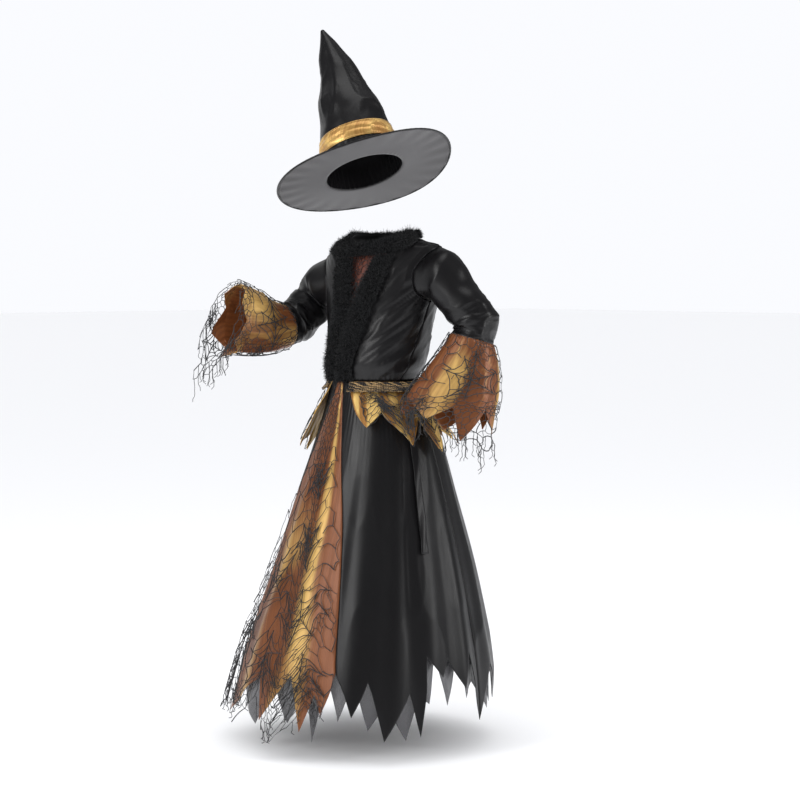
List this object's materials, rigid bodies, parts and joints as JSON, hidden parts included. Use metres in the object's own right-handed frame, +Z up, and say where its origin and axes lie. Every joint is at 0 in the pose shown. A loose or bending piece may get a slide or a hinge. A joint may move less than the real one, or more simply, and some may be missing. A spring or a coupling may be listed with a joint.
{
  "type": "witch costume",
  "caption": "Long dress of black and rust satin with fur trim, bell cuffs, pointed peplum and hem and web net, in its worn form, with a wide-brimmed pointed hat.",
  "frame": {"origin": "the middle of the neck's base, between the shoulders that hold the dress up", "axes": "+Z up, -Y the way the dress faces, +X the wearer's left"},
  "size_m": [0.6159, 0.5813, 1.5007],
  "materials": {
    "black_satin": "soft satin gloss",
    "gold_satin": "bright satin gloss",
    "copper_satin": "satin gloss, shot with gold",
    "sheer_black": "sheer, matte",
    "black_net": "matte, open web",
    "black_fur": "long soft pile",
    "gold_lace": "gathered lace with a metallic thread"
  },
  "bodies": {
    "root": {"bodice_back": "black_satin", "bodice_front_left": "black_satin", "bodice_front_right": "black_satin", "chest_insert": "copper_satin", "cuff_left": "copper_satin", "cuff_net_left_inner": "black_net", "cuff_net_left_outer": "black_net", "cuff_net_right_inner": "black_net", "cuff_net_right_outer": "black_net", "cuff_right": "copper_satin", "fur_collar": "black_fur", "fur_front_left": "black_fur", "fur_front_right": "black_fur", "hat_band": "gold_satin", "hat_brim": "sheer_black", "hat_brim_edge": "black_satin", "hat_crown": "black_satin", "peplum_back": "gold_satin", "peplum_left": "gold_satin", "peplum_net_left": "black_net", "peplum_net_right": "black_net", "peplum_right": "gold_satin", "skirt_back": "black_satin", "skirt_front": "copper_satin", "skirt_front_net": "black_net", "skirt_left": "black_satin", "skirt_right": "black_satin", "sleeve_left": "black_satin", "sleeve_right": "black_satin", "tie_ribbon": "black_satin", "underlayer_left": "sheer_black", "underlayer_right": "sheer_black", "waist_lace": "gold_lace"}
  },
  "joints": []
}
